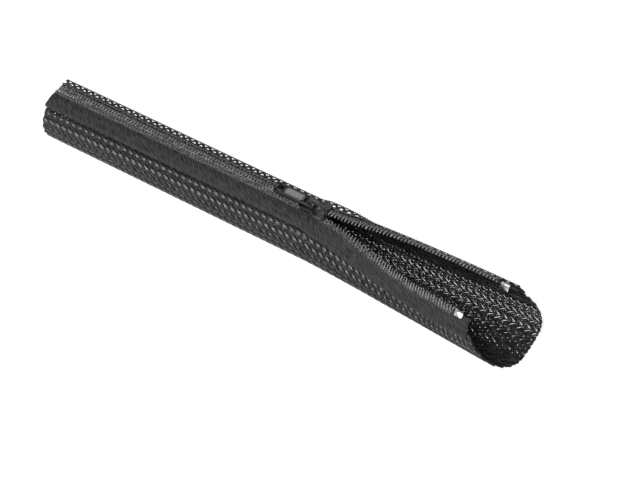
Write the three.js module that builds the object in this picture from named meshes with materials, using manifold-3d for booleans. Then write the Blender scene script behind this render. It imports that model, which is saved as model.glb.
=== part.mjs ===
// Braided cable sleeve with a coil zip along its top, lying on a flat surface.
// The zip is closed from the far end to the slider and open from there to the near end.
// Millimetres and degrees. +X runs along the sleeve to its open end, +Z is up.

import * as THREE from 'three';
import { mergeVertices } from 'three/addons/utils/BufferGeometryUtils.js';
import Module from 'manifold-3d';

const wasm = await Module();
wasm.setup();

// Sleeve, measured from the slider's mouth at x = 0
const TUBE_RADIUS = 10.3;
const CLOSED_LENGTH = 118;
const OPEN_LENGTH = 79;
const END_SLANT = 10.5;         // the lips are cut this much shorter than the bottom
const SLANT_RUN = 31;           // length over which the braid takes up that slant
const NEAR_SLANT_ANGLE = 180;   // from the top, where the slant ends on each side
const FAR_SLANT_ANGLE = 130;
const ZIP_FLAT = 0.85;          // the round top is pressed flat by this much under the zip
const FLOOR_FLAT = 0.45;        // and the bottom by this much where it lies
const FLAT_EASE = 0.15;         // softness of the edge of the flat under the zip

// Open mouth: the tube spreads sideways and sags a little
const MOUTH_HALF_WIDTH = 14.8;
const MOUTH_HALF_HEIGHT = 9.4;
const MOUTH_SHIFT = 0.4;        // it leans to the near side
const MOUTH_AT = 66;            // place along the zip where the spread is full
const SPREAD_START = -6;
const SPREAD_EASE = 0.1;
const NEAR_PULL = 8.5;          // the near lip is drawn back by its longer way
const PULL_START = 15;

// Lips of the zip: half the gap between them
const SPLIT_START = -7;
const SPLIT_HALF_GAP = 1.35;    // made by the slider's wedge
const SPLIT_RUN = 3;
const LENS_HALF_GAP = 7.6;      // added by the spread of the open part
const LENS_RUN = 29;
const LENS_POWER = 1.5;

// Braid
const BRAID_WALL = 0.8;
const BRAID_ANGLE = 30;         // of the yarns to the sleeve's axis
const CELLS_AROUND = 9;
const DIMPLE_DEPTH = 0.35;
const GAP_SHARE = 0.46;         // size of a gap in its diamond cell
const GAP_ROWS = 4;             // rows of gaps beside the near tape
const BRAID_NEAR_EDGE = 5.2;    // distances from the lip, under the near tape
const BRAID_FAR_EDGE = 2.5;     // and on top of the far tape, beside the coil

// Zip tapes
const CLEARANCE = 0.25;
const TAPE_THICKNESS = 0.5;
const TAPE_INNER_EDGE = 0.85;
const NEAR_TAPE_EDGE = 7.6;
const FAR_TAPE_EDGE = 2.7;
const TAPE_FACETS = 3;
const FAR_STEP_START = 3.4;     // the braid comes down from the far tape behind its edge
const FAR_STEP_RUN = 4;

// The braid's far edge, folded out beside the coil: an open net with a free edge in the air
const NET_ROOT = 2.45;          // distance from the far lip
const NET_WIDTH = 3.9;
const NET_THICKNESS = 0.3;
const NET_DROOP = 20;
const NET_CELL = 5.8;           // drawn at twice the real 2.9 mm

// Coil rows, drawn at twice the real 1.27 mm pitch
const TOOTH_PITCH = 2.54;
const TOOTH_REACH = 0.55;       // past the lip, between the other row's teeth
const TOOTH_ROOT = 1.4;
const COIL_BACK = 2.05;
const COIL_THICKNESS = 0.6;
const CORD_INNER = 0.9;
const CORD_OUTER = 1.7;
const CORD_THICKNESS = 0.5;

// Sewing threads, drawn as one beaded line each
const STITCH_LENGTH = 3;
const STITCH_WIDTH = 0.55;
const STITCH_HEIGHT = 0.28;
const STITCH_WAIST = 0.55;      // share of the size between two stitches
const COIL_STITCH_AT = 1.65;
const NEAR_SEAM_AT = 6.5;
const NET_EDGE_AT = 3.55;       // from the net's root

// End stops, bent round the tape's edge
const STOP_AT = 62.5;
const STOP_LENGTH = 3.2;
const STOP_WALL = 0.65;
const STOP_BACK = 2.1;

// Slider
const SLIDER_FRONT = -1;
const SLIDER_LENGTH = 10;
const SLIDER_HALF_FRONT = 4.25;
const SLIDER_HALF_BACK = 3.2;
const SLIDER_NOTCH = 1.1;
const PLATE_THICKNESS = 0.8;
const CHANNEL_HALF_BACK = 2.35;
const FLANGE_DEPTH = 0.5;
const WEDGE_LENGTH = 2.3;
const WEDGE_HALF_FRONT = 0.5;
const WEDGE_HALF_BACK = 0.25;
const BRIDGE_HALF_LENGTH = 3.4;
const BRIDGE_HEIGHT = 2.3;
const BRIDGE_THICKNESS = 0.85;
const BRIDGE_WIDTH = 1.8;

// Pull tab
const TAB_BAR_RADIUS = 0.5;
const TAB_REACH = 16.6;         // from the bar's axis to the free end
const TAB_HALF_WIDTH = 2.35;
const TAB_THICKNESS = 1;
const TAB_LOOP_LENGTH = 3.9;
const TAB_LOOP_CLEARANCE = 0.4;
const TAB_HOLE_LENGTH = 2.4;
const TAB_HOLE_WIDTH = 1.5;
const TAB_RIM = 1.1;
const TAB_PANEL_DEPTH = 0.25;

const PERIMETER = 2 * Math.PI * TUBE_RADIUS;
const SLEEVE_LENGTH = CLOSED_LENGTH + OPEN_LENGTH;
const LIP_END = OPEN_LENGTH - END_SLANT;
const mix = THREE.MathUtils.lerp;
const ease = THREE.MathUtils.smoothstep;

// Heights over the tube's round surface, of what lies on it
const TAPE_BOTTOM = CLEARANCE;
const TAPE_TOP = TAPE_BOTTOM + TAPE_THICKNESS;
const CORD_BOTTOM = TAPE_TOP + CLEARANCE;
const COIL_BOTTOM = CORD_BOTTOM + CORD_THICKNESS + CLEARANCE;
const COIL_TOP = COIL_BOTTOM + COIL_THICKNESS;
const FAR_LIFT = TAPE_TOP + CLEARANCE + BRAID_WALL;
const NET_BOTTOM = FAR_LIFT + CLEARANCE;
const COIL_STITCH_BOTTOM = COIL_TOP + CLEARANCE;
const PLATE_BOTTOM = COIL_STITCH_BOTTOM + STITCH_HEIGHT + CLEARANCE;
const PLATE_TOP = PLATE_BOTTOM + PLATE_THICKNESS;
const LOWER_PLATE_TOP = TAPE_BOTTOM - 1.6 * CLEARANCE;
const ZIP_Z = 2 * TUBE_RADIUS - ZIP_FLAT - FLOOR_FLAT;

// Half the gap between the lips at a place along the zip
function lipGap(s) {
  const split = Math.max(s - SPLIT_START, 0) / SPLIT_RUN;
  const lens = Math.max(s, 0) / LENS_RUN;
  return SPLIT_HALF_GAP * (1 - Math.exp(-(split ** 2)))
    + LENS_HALF_GAP * (1 - Math.exp(-(lens ** LENS_POWER)));
}

// The sleeve's cross-section there: an ellipse with its lips at an angle from the top
function sectionAt(s) {
  const t = Math.max(s - SPREAD_START, 0) / (MOUTH_AT - SPREAD_START);
  const spread = t === 0 ? 0 : (t * t * (1 + SPREAD_EASE)) / (t + SPREAD_EASE);
  const halfWidth = mix(TUBE_RADIUS, MOUTH_HALF_WIDTH, spread);
  return {
    halfWidth,
    halfHeight: mix(TUBE_RADIUS, MOUTH_HALF_HEIGHT, spread),
    shift: -MOUTH_SHIFT * spread,
    lipAngle: Math.asin(lipGap(s) / halfWidth),
  };
}

// Angle from the top, by way of the near side, of a distance around from the near lip
function angleAt(section, around) {
  return section.lipAngle + (2 * (Math.PI - section.lipAngle) * around) / PERIMETER;
}

function sectionPoint(section, around) {
  const angle = angleAt(section, around);
  const top = 2 * section.halfHeight - ZIP_FLAT;
  const round = section.halfHeight * (1 + Math.cos(angle));
  const z = top - FLAT_EASE * Math.log1p(Math.exp((top - round) / FLAT_EASE));
  return new THREE.Vector2(section.shift - section.halfWidth * Math.sin(angle), z);
}

// A point at a place along the zip, a distance around and a height over the surface
function place(s, around, height) {
  const section = sectionAt(s);
  const step = 0.02;
  const point = sectionPoint(section, around);
  const tangent = sectionPoint(section, around + step)
    .sub(sectionPoint(section, around - step)).normalize();
  const z = point.y - height * tangent.x;
  const pull = NEAR_PULL * ease(s, PULL_START, LIP_END)
    * Math.max(Math.cos(angleAt(section, around) / 2), 0) ** 2;
  return new THREE.Vector3(
    s - pull,
    point.x + height * tangent.y,
    Math.max(z, FLOOR_FLAT) - FLOOR_FLAT,
  );
}

// The same from a distance to either lip
const nearPlace = (s, fromLip, height) => place(s, fromLip, height);
const farPlace = (s, fromLip, height) => place(s, PERIMETER - fromLip, height);

// The net stands out straight from its root beside the far coil and droops a little
function netPlace(s, out, height) {
  const step = 0.1;
  const root = farPlace(s, NET_ROOT, NET_BOTTOM);
  const outward = farPlace(s, NET_ROOT + step, NET_BOTTOM).sub(root).normalize();
  const upward = farPlace(s, NET_ROOT, NET_BOTTOM + step).sub(root).normalize();
  const droop = THREE.MathUtils.degToRad(NET_DROOP);
  return root
    .addScaledVector(outward, out * Math.cos(droop) + height * Math.sin(droop))
    .addScaledVector(upward, height * Math.cos(droop) - out * Math.sin(droop));
}

// 0 where the braid lies on the far tape, 1 where it is down on the tube's round surface
const braidStep = (fromLip) => ease(fromLip, FAR_STEP_START, FAR_STEP_START + FAR_STEP_RUN);

function stationsBetween(start, end, step) {
  const count = Math.max(Math.round((end - start) / step), 1);
  return Array.from({ length: count + 1 }, (_, i) => mix(start, end, i / count));
}

// One long straight stretch, then short steps where the zip opens
function zipStations(end) {
  const straight = SPREAD_START - 2;
  return [-CLOSED_LENGTH, ...stationsBetween(straight, 0, 1.6), ...stationsBetween(0, end, 4).slice(1)];
}

// Triangles turned so that the body's faces point out
function outward(geometry) {
  const merged = geometry.clone();
  merged.deleteAttribute('normal');
  merged.deleteAttribute('uv');
  const body = mergeVertices(merged, 1e-5);
  const index = body.index.array;
  const corner = (i) => new THREE.Vector3().fromBufferAttribute(body.attributes.position, index[i]);
  let volume = 0;
  for (let i = 0; i < index.length; i += 3) {
    volume += corner(i).dot(corner(i + 1).cross(corner(i + 2)));
  }
  if (volume < 0) {
    for (let i = 0; i < index.length; i += 3) {
      [index[i], index[i + 1]] = [index[i + 1], index[i]];
    }
  }
  return body;
}

// A flat outline drawn out along the stations, each corner then set in its place
function strip(outline, stations, placeCorner) {
  const shape = new THREE.Shape(outline.map(([x, y]) => new THREE.Vector2(x, y)));
  const steps = stations.length - 1;
  const geometry = new THREE.ExtrudeGeometry(shape, { depth: steps, steps, bevelEnabled: false });
  const position = geometry.attributes.position;
  for (let i = 0; i < position.count; i += 1) {
    const index = Math.round(position.getZ(i));
    const point = placeCorner(stations[index], position.getX(i), position.getY(i), index);
    position.setXYZ(i, point.x, point.y, point.z);
  }
  return outward(geometry);
}

// An outline of one thickness that follows a line of [distance, height] points
function band(line, thickness) {
  const back = line.map(([x, y]) => [x, y + thickness]).reverse();
  return [...line, ...back];
}

// A zip tape, from its inner edge beside the coil to its outer edge
function tape(placeCorner, outerEdge) {
  const line = stationsBetween(TAPE_INNER_EDGE, outerEdge, (outerEdge - TAPE_INNER_EDGE) / TAPE_FACETS)
    .map((d) => [d, TAPE_BOTTOM]);
  return strip(band(line, TAPE_THICKNESS), zipStations(LIP_END), placeCorner);
}

// A row of the coil: a spine with pointed teeth, set half a pitch off the other row's
function coilRow(placeCorner, phase) {
  const outline = [[0, COIL_BOTTOM], [1, COIL_BOTTOM], [1, COIL_TOP], [0, COIL_TOP]];
  const half = TOOTH_PITCH / 2;
  const count = Math.floor((CLOSED_LENGTH + STOP_AT - CLEARANCE) / half);
  const stations = Array.from({ length: count + 1 }, (_, i) => i * half - CLOSED_LENGTH);
  return strip(outline, stations, (s, share, height, index) => {
    const front = (index + phase) % 2 === 0 ? -TOOTH_REACH : TOOTH_ROOT;
    return placeCorner(s, mix(front, COIL_BACK, share), height);
  });
}

function coreCord(placeCorner) {
  const middle = (CORD_INNER + CORD_OUTER) / 2;
  const outline = [
    [CORD_INNER, CORD_BOTTOM + CORD_THICKNESS / 2],
    [middle, CORD_BOTTOM],
    [CORD_OUTER, CORD_BOTTOM + CORD_THICKNESS / 2],
    [middle, CORD_BOTTOM + CORD_THICKNESS],
  ];
  return strip(outline, zipStations(STOP_AT - CLEARANCE), placeCorner);
}

// A line of stitches that lies at a distance from the lip, on the height given there
function stitchLine(placeCorner, fromLip, heightAt, end) {
  const outline = [[-STITCH_WIDTH / 2, 0], [STITCH_WIDTH / 2, 0], [0, STITCH_HEIGHT]];
  const stations = stationsBetween(-CLOSED_LENGTH, end, STITCH_LENGTH / 2)
    .filter((s, i, all) => i % 2 === 0 || i === all.length - 1);
  return strip(outline, stations, (s, across, height, index) => {
    const size = index % 2 === 0 ? 1 : STITCH_WAIST;
    return placeCorner(s, fromLip + across * size, heightAt(fromLip) + height * size);
  });
}

// A metal clip folded round the edge of the tape, open to the tape's side
function endStop(placeCorner) {
  const front = TAPE_INNER_EDGE - CLEARANCE - STOP_WALL;
  const low = TAPE_BOTTOM - CLEARANCE;
  const high = TAPE_TOP + CLEARANCE;
  const inside = TAPE_INNER_EDGE - CLEARANCE;
  const outline = [
    [front, low - STOP_WALL], [STOP_BACK, low - STOP_WALL], [STOP_BACK, low], [inside, low],
    [inside, high], [STOP_BACK, high], [STOP_BACK, high + STOP_WALL], [inside, high + STOP_WALL * 1.5],
    [front, high + STOP_WALL],
  ];
  const end = STOP_AT + STOP_LENGTH;
  return strip(outline, stationsBetween(STOP_AT, end, STOP_LENGTH / 3), placeCorner);
}

// A surface of triangles given a wall: inner corners mirror the outer ones, edges are closed
function shell(outer, inner, triangles) {
  const offset = outer.length;
  const index = [];
  const edges = new Set(triangles.flatMap(([a, b, c]) => [`${a},${b}`, `${b},${c}`, `${c},${a}`]));
  for (const [a, b, c] of triangles) {
    index.push(a, b, c, c + offset, b + offset, a + offset);
    for (const [p, q] of [[a, b], [b, c], [c, a]]) {
      if (!edges.has(`${q},${p}`)) {
        index.push(q, p, p + offset, q, p + offset, q + offset);
      }
    }
  }
  const geometry = new THREE.BufferGeometry().setFromPoints([...outer, ...inner]);
  geometry.setIndex(index);
  return outward(geometry);
}

// A wall of diamond cells: the yarns cross at their corners, and each has a dimple or an open gap
function lattice(rows, columns, hasGap, wallAt) {
  const outer = [];
  const inner = [];
  const triangles = [];
  const addPoint = (i, j, depth) => {
    const [outside, inside] = wallAt(i / rows, j / columns, depth);
    outer.push(outside);
    inner.push(inside);
    return outer.length - 1;
  };
  const crossings = new Map();
  const crossing = (i, j) => {
    const key = `${i},${j}`;
    if (!crossings.has(key)) {
      crossings.set(key, addPoint(i, j, 0));
    }
    return crossings.get(key);
  };
  const isInside = (i, j) => i >= 0 && j >= 0 && i <= rows && j <= columns;

  for (let i = 0; i <= rows; i += 1) {
    for (let j = (i + 1) % 2; j <= columns; j += 2) {
      const sides = [[i - 1, j], [i, j - 1], [i + 1, j], [i, j + 1]];
      const gap = i > 0 && i < rows && hasGap(j);
      const rim = gap ? sides.map(([a, b]) => addPoint(mix(i, a, GAP_SHARE), mix(j, b, GAP_SHARE), 1)) : [];
      const middle = gap ? -1 : addPoint(i, j, 1);
      sides.forEach(([a, b], k) => {
        const next = (k + 1) % sides.length;
        const [c, d] = sides[next];
        if (!isInside(a, b) || !isInside(c, d)) {
          return;
        }
        const from = crossing(a, b);
        const to = crossing(c, d);
        if (gap) {
          triangles.push([from, to, rim[next]], [from, rim[next], rim[k]]);
        } else {
          triangles.push([from, to, middle]);
        }
      });
    }
  }
  return shell(outer, inner, triangles);
}

function braid() {
  const width = PERIMETER - BRAID_NEAR_EDGE - BRAID_FAR_EDGE;
  const columns = 2 * CELLS_AROUND;
  const cellLength = width / CELLS_AROUND / Math.tan(THREE.MathUtils.degToRad(BRAID_ANGLE));
  const rows = 2 * Math.round(SLEEVE_LENGTH / cellLength);

  // Near its open end the braid is drawn back towards the lips
  const slanted = (s, around) => {
    const turn = around / PERIMETER;
    const nearShare = Math.min(turn * (360 / NEAR_SLANT_ANGLE), 1);
    const farShare = Math.min((1 - turn) * (360 / FAR_SLANT_ANGLE), 1);
    const short = END_SLANT * Math.cos((Math.PI / 2) * Math.min(nearShare, farShare)) ** 2;
    const run = Math.max(s - (OPEN_LENGTH - SLANT_RUN), 0) / SLANT_RUN;
    return s - short * run;
  };
  const wallAt = (along, across, depth) => {
    const around = BRAID_NEAR_EDGE + across * width;
    const s = slanted(-CLOSED_LENGTH + along * SLEEVE_LENGTH, around);
    const lift = FAR_LIFT * (1 - braidStep(PERIMETER - around));
    return [place(s, around, lift - depth * DIMPLE_DEPTH), place(s, around, lift - BRAID_WALL)];
  };
  return lattice(rows, columns, (j) => j > 0 && j <= GAP_ROWS, wallAt);
}

function net() {
  const length = CLOSED_LENGTH + LIP_END;
  const rows = 2 * Math.round(length / NET_CELL);
  return lattice(rows, 2, (j) => j === 1, (along, across) => {
    const s = -CLOSED_LENGTH + along * length;
    return [netPlace(s, across * NET_WIDTH, NET_THICKNESS), netPlace(s, across * NET_WIDTH, 0)];
  });
}

// Solid bodies for joining and cutting
function solid(geometry) {
  const body = outward(geometry);
  return new wasm.Manifold(new wasm.Mesh({
    numProp: 3,
    vertProperties: new Float32Array(body.attributes.position.array),
    triVerts: new Uint32Array(body.index.array),
  }));
}

function geometryOf(manifold) {
  const mesh = manifold.getMesh();
  const geometry = new THREE.BufferGeometry();
  geometry.setAttribute('position', new THREE.BufferAttribute(mesh.vertProperties, 3));
  geometry.setIndex(new THREE.BufferAttribute(mesh.triVerts, 1));
  return outward(geometry);
}

// An outline in plan, raised between two heights
function slab(shape, low, high) {
  const geometry = new THREE.ExtrudeGeometry(shape, {
    depth: high - low, bevelEnabled: false, curveSegments: 5,
  });
  return solid(geometry.translate(0, 0, low));
}

function roundedBox(x0, x1, halfWidth, radius) {
  const shape = new THREE.Shape();
  shape.moveTo(x0 + radius, -halfWidth);
  shape.lineTo(x1 - radius, -halfWidth);
  shape.absarc(x1 - radius, radius - halfWidth, radius, -Math.PI / 2, 0);
  shape.absarc(x1 - radius, halfWidth - radius, radius, 0, Math.PI / 2);
  shape.lineTo(x0 + radius, halfWidth);
  shape.absarc(x0 + radius, halfWidth - radius, radius, Math.PI / 2, Math.PI);
  shape.absarc(x0 + radius, radius - halfWidth, radius, Math.PI, 1.5 * Math.PI);
  return shape;
}

// The slider's plates in plan: narrow at the back, two rounded shoulders at the front
function sliderOutline() {
  const back = SLIDER_FRONT - SLIDER_LENGTH;
  const waist = SLIDER_FRONT - SLIDER_LENGTH * 0.4;
  const shape = new THREE.Shape();
  shape.moveTo(back, -SLIDER_HALF_BACK + 0.9);
  shape.quadraticCurveTo(back, -SLIDER_HALF_BACK, back + 0.9, -SLIDER_HALF_BACK);
  shape.lineTo(waist - 1.5, -SLIDER_HALF_BACK);
  shape.quadraticCurveTo(waist, -SLIDER_HALF_BACK, waist + 1.3, -SLIDER_HALF_FRONT);
  shape.lineTo(SLIDER_FRONT - 0.9, -SLIDER_HALF_FRONT);
  shape.quadraticCurveTo(SLIDER_FRONT, -SLIDER_HALF_FRONT, SLIDER_FRONT, -SLIDER_HALF_FRONT + 0.9);
  shape.quadraticCurveTo(SLIDER_FRONT, -1, SLIDER_FRONT - SLIDER_NOTCH, 0);
  shape.quadraticCurveTo(SLIDER_FRONT, 1, SLIDER_FRONT, SLIDER_HALF_FRONT - 0.9);
  shape.quadraticCurveTo(SLIDER_FRONT, SLIDER_HALF_FRONT, SLIDER_FRONT - 0.9, SLIDER_HALF_FRONT);
  shape.lineTo(waist + 1.3, SLIDER_HALF_FRONT);
  shape.quadraticCurveTo(waist, SLIDER_HALF_BACK, waist - 1.5, SLIDER_HALF_BACK);
  shape.lineTo(back + 0.9, SLIDER_HALF_BACK);
  shape.quadraticCurveTo(back, SLIDER_HALF_BACK, back, SLIDER_HALF_BACK - 0.9);
  return shape;
}

// The way that the two rows take through the slider, wide enough for their backs
function channelOutline() {
  const stations = stationsBetween(SLIDER_FRONT - SLIDER_LENGTH - 1, SLIDER_FRONT + 1, 1);
  const halfWidth = (s) => lipGap(s) + CHANNEL_HALF_BACK;
  const near = stations.map((s) => new THREE.Vector2(s, -halfWidth(s)));
  const far = stations.map((s) => new THREE.Vector2(s, halfWidth(s))).reverse();
  return new THREE.Shape([...near, ...far]);
}

function wedgeOutline() {
  const front = SLIDER_FRONT - SLIDER_NOTCH * 0.2;
  const back = front - WEDGE_LENGTH;
  return new THREE.Shape([
    new THREE.Vector2(back, -WEDGE_HALF_BACK),
    new THREE.Vector2(front, -WEDGE_HALF_FRONT),
    new THREE.Vector2(front, WEDGE_HALF_FRONT),
    new THREE.Vector2(back, WEDGE_HALF_BACK),
  ]);
}

const BRIDGE_X = SLIDER_FRONT - SLIDER_LENGTH / 2 + 0.3;
const BAR_HEIGHT = PLATE_TOP + (BRIDGE_HEIGHT - BRIDGE_THICKNESS) / 2;

// The bridge that holds the pull: an arch along the slider, seen from its side
function bridge() {
  const arch = (halfLength, height) => {
    const shape = new THREE.Shape();
    shape.moveTo(-halfLength, -0.3);
    shape.lineTo(halfLength, -0.3);
    shape.lineTo(halfLength, height * 0.35);
    shape.quadraticCurveTo(halfLength * 0.95, height, halfLength * 0.3, height);
    shape.lineTo(-halfLength * 0.3, height);
    shape.quadraticCurveTo(-halfLength * 0.95, height, -halfLength, height * 0.35);
    return shape;
  };
  const raise = (shape, width) => {
    const geometry = new THREE.ExtrudeGeometry(shape, { depth: width, bevelEnabled: false, curveSegments: 5 });
    geometry.rotateX(Math.PI / 2);
    return solid(geometry.translate(BRIDGE_X, width / 2, PLATE_TOP));
  };
  const outside = raise(arch(BRIDGE_HALF_LENGTH, BRIDGE_HEIGHT), BRIDGE_WIDTH);
  const inside = raise(
    arch(BRIDGE_HALF_LENGTH - BRIDGE_THICKNESS, BRIDGE_HEIGHT - BRIDGE_THICKNESS),
    BRIDGE_WIDTH + 1,
  );
  return outside.subtract(inside);
}

function sliderBody() {
  const plate = sliderOutline();
  const flange = slab(plate, PLATE_BOTTOM - FLANGE_DEPTH, PLATE_TOP)
    .subtract(slab(channelOutline(), PLATE_BOTTOM - FLANGE_DEPTH - 1, PLATE_BOTTOM));
  const lower = slab(plate, LOWER_PLATE_TOP - PLATE_THICKNESS, LOWER_PLATE_TOP);
  const wedge = slab(wedgeOutline(), LOWER_PLATE_TOP - 0.3, PLATE_BOTTOM + 0.3);
  return geometryOf(flange.add(lower).add(wedge).add(bridge()));
}

// The pull tab lies back over the closed zip, its bar through the bridge, its axis at x = 0
function pullTab() {
  const loopHalf = BRIDGE_WIDTH / 2 + TAB_LOOP_CLEARANCE;
  const loopEnd = -TAB_BAR_RADIUS - TAB_LOOP_LENGTH;
  const half = TAB_THICKNESS / 2;
  const plate = slab(roundedBox(-TAB_REACH, 0, TAB_HALF_WIDTH, TAB_HALF_WIDTH * 0.6), -half, half);
  const loop = slab(roundedBox(loopEnd, -TAB_BAR_RADIUS, loopHalf, loopHalf * 0.4), -1, 1);
  const holeEnd = -TAB_REACH + TAB_RIM + TAB_HOLE_LENGTH;
  const hole = slab(
    roundedBox(-TAB_REACH + TAB_RIM, holeEnd, TAB_HOLE_WIDTH / 2, TAB_HOLE_WIDTH * 0.45),
    -1,
    1,
  );
  const panel = slab(
    roundedBox(holeEnd + TAB_RIM * 0.7, loopEnd - TAB_RIM * 0.8, TAB_HALF_WIDTH - TAB_RIM * 0.7, 0.5),
    half - TAB_PANEL_DEPTH,
    1,
  );
  const front = slab(roundedBox(-0.9, 1, TAB_HALF_WIDTH + 1, 0.1), -1, 1);
  const bar = solid(new THREE.CylinderGeometry(TAB_BAR_RADIUS, TAB_BAR_RADIUS, 2 * TAB_HALF_WIDTH, 10));
  const cheeks = slab(roundedBox(-TAB_BAR_RADIUS * 2, TAB_BAR_RADIUS, TAB_HALF_WIDTH, 0.4), -half, half)
    .subtract(slab(roundedBox(-TAB_BAR_RADIUS * 3, 1, loopHalf, 0.1), -1, 1));
  return geometryOf(plate.subtract(front).subtract(loop).subtract(hole).subtract(panel)
    .add(cheeks).add(bar));
}

const finishes = {
  braid: { color: 0x2b2b2c, roughness: 0.45, metalness: 0 },
  tape: { color: 0x303031, roughness: 0.85, metalness: 0 },
  coil: { color: 0x26262a, roughness: 0.3, metalness: 0 },
  cord: { color: 0x2e2e30, roughness: 0.9, metalness: 0 },
  thread: { color: 0x3c3c3e, roughness: 0.7, metalness: 0 },
  stop: { color: 0xd9dbde, roughness: 0.25, metalness: 1 },
  slider: { color: 0x1c1c1e, roughness: 0.35, metalness: 0.3 },
  tab: { color: 0x242426, roughness: 0.4, metalness: 0.1 },
};

const group = new THREE.Group();

function add(name, finish, geometry, parent = group) {
  const mesh = new THREE.Mesh(geometry, new THREE.MeshStandardMaterial(finishes[finish]));
  mesh.name = name;
  parent.add(mesh);
  return mesh;
}

const tapeTop = () => TAPE_TOP + CLEARANCE;
const coilTop = () => COIL_STITCH_BOTTOM;
const netTop = () => NET_THICKNESS + CLEARANCE;
const coilEnd = STOP_AT - CLEARANCE;

add('braid', 'braid', braid());
add('far_net', 'braid', net());
add('near_tape', 'tape', tape(nearPlace, NEAR_TAPE_EDGE));
add('far_tape', 'tape', tape(farPlace, FAR_TAPE_EDGE));
add('near_coil', 'coil', coilRow(nearPlace, 0));
add('far_coil', 'coil', coilRow(farPlace, 1));
add('near_core_cord', 'cord', coreCord(nearPlace));
add('far_core_cord', 'cord', coreCord(farPlace));
add('near_coil_stitching', 'thread', stitchLine(nearPlace, COIL_STITCH_AT, coilTop, coilEnd));
add('far_coil_stitching', 'thread', stitchLine(farPlace, COIL_STITCH_AT, coilTop, coilEnd));
add('near_seam_stitching', 'thread', stitchLine(nearPlace, NEAR_SEAM_AT, tapeTop, LIP_END));
add('far_edge_stitching', 'thread', stitchLine(netPlace, NET_EDGE_AT, netTop, LIP_END));
add('near_end_stop', 'stop', endStop(nearPlace));
add('far_end_stop', 'stop', endStop(farPlace));

const sliderGroup = new THREE.Group();
sliderGroup.position.z = ZIP_Z;
group.add(sliderGroup);
add('slider_body', 'slider', sliderBody(), sliderGroup);
add('pull_tab', 'tab', pullTab(), sliderGroup).position.set(BRIDGE_X, 0, BAR_HEIGHT);

// The origin is the middle of the footprint, on the surface that the sleeve lies on
group.updateMatrixWorld(true);
const box = new THREE.Box3().setFromObject(group, true);
const middle = box.getCenter(new THREE.Vector3());
group.position.set(-middle.x, -middle.y, -box.min.z);
group.updateMatrixWorld(true);

export default group;
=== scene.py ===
"""Looks of a braided cable sleeve with a coil zip: its yarns, tapes, coil turns, threads and slider."""

import logging
import math
from collections.abc import Callable, Sequence
from dataclasses import dataclass, field
from enum import Enum

import bmesh
import bpy
import numpy as np
from mathutils import Matrix, Vector


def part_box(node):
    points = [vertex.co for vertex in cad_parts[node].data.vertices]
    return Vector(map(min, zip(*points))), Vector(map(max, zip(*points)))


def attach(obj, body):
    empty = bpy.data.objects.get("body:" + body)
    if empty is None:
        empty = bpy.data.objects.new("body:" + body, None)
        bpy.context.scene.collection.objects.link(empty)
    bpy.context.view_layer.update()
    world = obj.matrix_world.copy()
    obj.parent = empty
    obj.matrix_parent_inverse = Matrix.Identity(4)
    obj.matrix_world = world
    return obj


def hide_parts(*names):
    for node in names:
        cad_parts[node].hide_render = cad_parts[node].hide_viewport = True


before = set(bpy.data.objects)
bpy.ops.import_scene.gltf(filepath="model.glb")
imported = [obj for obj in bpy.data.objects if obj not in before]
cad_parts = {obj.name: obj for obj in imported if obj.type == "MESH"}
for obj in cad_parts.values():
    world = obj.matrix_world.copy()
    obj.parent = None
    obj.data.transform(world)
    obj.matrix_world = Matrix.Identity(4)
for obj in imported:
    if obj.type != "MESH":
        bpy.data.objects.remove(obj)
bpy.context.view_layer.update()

log = logging.getLogger("braided_sleeve")
logging.basicConfig(level=logging.INFO, format="%(message)s")

MM = 0.001
SLEEVE, SLIDER, PULL = "sleeve", "slider", "pull"
PlaceCorner = Callable[[np.ndarray, np.ndarray, np.ndarray], np.ndarray]


class Lip(Enum):
    """The two lips that the zip joins."""

    NEAR = "near"
    FAR = "far"


class Bias(Enum):
    """The two ways in which a yarn winds round the sleeve."""

    RISING = 1
    FALLING = -1


def ease(value: np.ndarray, start: float, end: float) -> np.ndarray:
    """Smooth step from 0 at start to 1 at end.

    Args:
        value: Where to read the step.
        start: Value at which the step begins.
        end: Value at which it is done.

    Returns:
        The step, from 0 to 1.
    """
    t = np.clip((np.asarray(value, float) - start) / (end - start), 0, 1)
    return t * t * (3 - 2 * t)


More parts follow.
